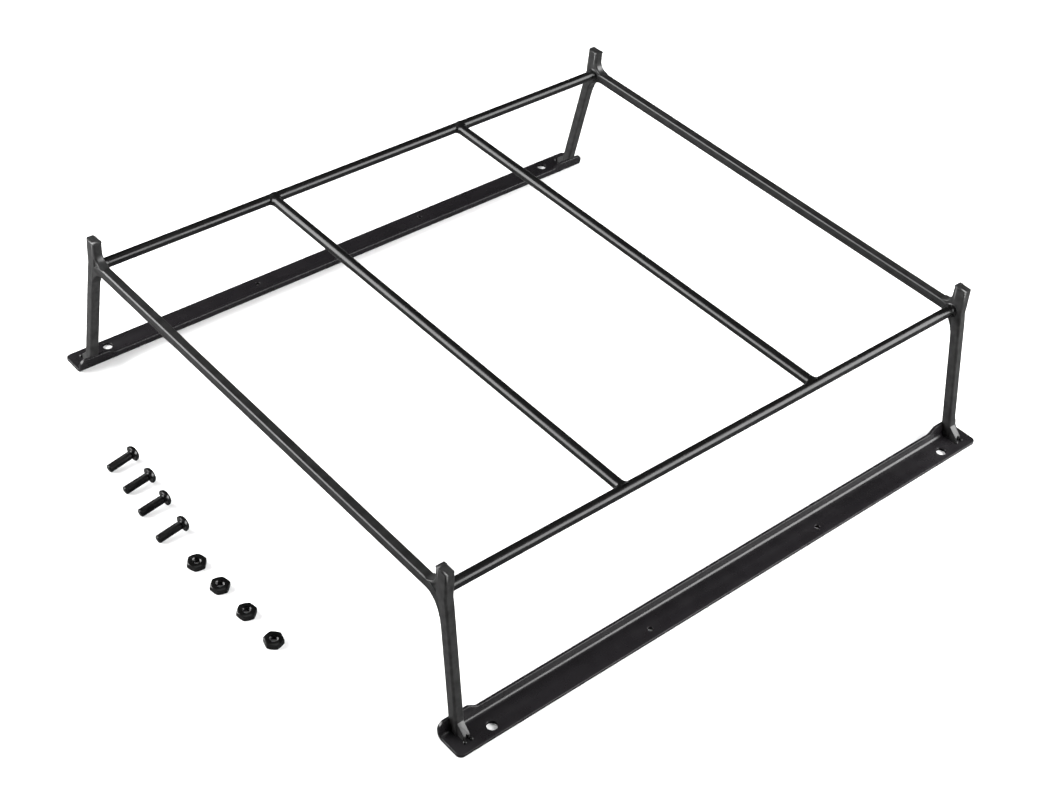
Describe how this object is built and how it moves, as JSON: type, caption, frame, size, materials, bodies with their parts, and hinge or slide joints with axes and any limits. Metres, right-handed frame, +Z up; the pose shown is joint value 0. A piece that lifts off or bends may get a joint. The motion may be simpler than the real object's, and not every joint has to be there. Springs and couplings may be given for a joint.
{
  "type": "roof cargo rack",
  "caption": "Low open cargo rack: two square-bar hoops and round rods welded on two drilled base strips, with loose screws and nuts.",
  "frame": {"origin": "middle of the four bolt holes, on the flat underside of the base strips", "axes": "X across the rack, +Y along the rails from the near hoop to the far hoop, +Z up from the mounting surface"},
  "size_m": [0.1894, 0.219, 0.0512],
  "materials": {
    "black_powder_coat": "satin black powder coat on steel",
    "black_oxide_steel": "black oxide steel"
  },
  "bodies": {
    "rack": {"far_cross_rod": "black_powder_coat", "far_hoop_bar": "black_powder_coat", "far_left_corner_web": "black_powder_coat", "far_left_foot_weld_far": "black_powder_coat", "far_left_foot_weld_near": "black_powder_coat", "far_left_post": "black_powder_coat", "far_left_rail_weld": "black_powder_coat", "far_left_rod_weld": "black_powder_coat", "far_left_toe_gusset": "black_powder_coat", "far_right_corner_web": "black_powder_coat", "far_right_foot_weld_far": "black_powder_coat", "far_right_foot_weld_near": "black_powder_coat", "far_right_post": "black_powder_coat", "far_right_rail_weld": "black_powder_coat", "far_right_rod_weld": "black_powder_coat", "far_right_toe_gusset": "black_powder_coat", "left_base_strip": "black_powder_coat", "left_rail": "black_powder_coat", "near_cross_rod": "black_powder_coat", "near_hoop_bar": "black_powder_coat", "near_left_corner_web": "black_powder_coat", "near_left_foot_weld_far": "black_powder_coat", "near_left_foot_weld_near": "black_powder_coat", "near_left_post": "black_powder_coat", "near_left_rail_weld": "black_powder_coat", "near_left_rod_weld": "black_powder_coat", "near_left_toe_gusset": "black_powder_coat", "near_right_corner_web": "black_powder_coat", "near_right_foot_weld_far": "black_powder_coat", "near_right_foot_weld_near": "black_powder_coat", "near_right_post": "black_powder_coat", "near_right_rail_weld": "black_powder_coat", "near_right_rod_weld": "black_powder_coat", "near_right_toe_gusset": "black_powder_coat", "right_base_strip": "black_powder_coat", "right_rail": "black_powder_coat"},
    "mounting_nut_1_body": {"mounting_nut_1": "black_oxide_steel"},
    "mounting_nut_2_body": {"mounting_nut_2": "black_oxide_steel"},
    "mounting_nut_3_body": {"mounting_nut_3": "black_oxide_steel"},
    "mounting_nut_4_body": {"mounting_nut_4": "black_oxide_steel"},
    "mounting_screw_1_body": {"mounting_screw_1": "black_oxide_steel"},
    "mounting_screw_2_body": {"mounting_screw_2": "black_oxide_steel"},
    "mounting_screw_3_body": {"mounting_screw_3": "black_oxide_steel"},
    "mounting_screw_4_body": {"mounting_screw_4": "black_oxide_steel"}
  },
  "joints": [
    {"name": "nut_1_lift", "type": "slide", "parent": "rack", "child": "mounting_nut_1_body", "axis": [0, 0, 1], "range_m": [0, 0.06]},
    {"name": "nut_2_lift", "type": "slide", "parent": "rack", "child": "mounting_nut_2_body", "axis": [0, 0, 1], "range_m": [0, 0.06]},
    {"name": "nut_3_lift", "type": "slide", "parent": "rack", "child": "mounting_nut_3_body", "axis": [0, 0, 1], "range_m": [0, 0.06]},
    {"name": "nut_4_lift", "type": "slide", "parent": "rack", "child": "mounting_nut_4_body", "axis": [0, 0, 1], "range_m": [0, 0.06]},
    {"name": "screw_1_lift", "type": "slide", "parent": "rack", "child": "mounting_screw_1_body", "axis": [0, 0, 1], "range_m": [0, 0.06]},
    {"name": "screw_2_lift", "type": "slide", "parent": "rack", "child": "mounting_screw_2_body", "axis": [0, 0, 1], "range_m": [0, 0.06]},
    {"name": "screw_3_lift", "type": "slide", "parent": "rack", "child": "mounting_screw_3_body", "axis": [0, 0, 1], "range_m": [0, 0.06]},
    {"name": "screw_4_lift", "type": "slide", "parent": "rack", "child": "mounting_screw_4_body", "axis": [0, 0, 1], "range_m": [0, 0.06]}
  ]
}
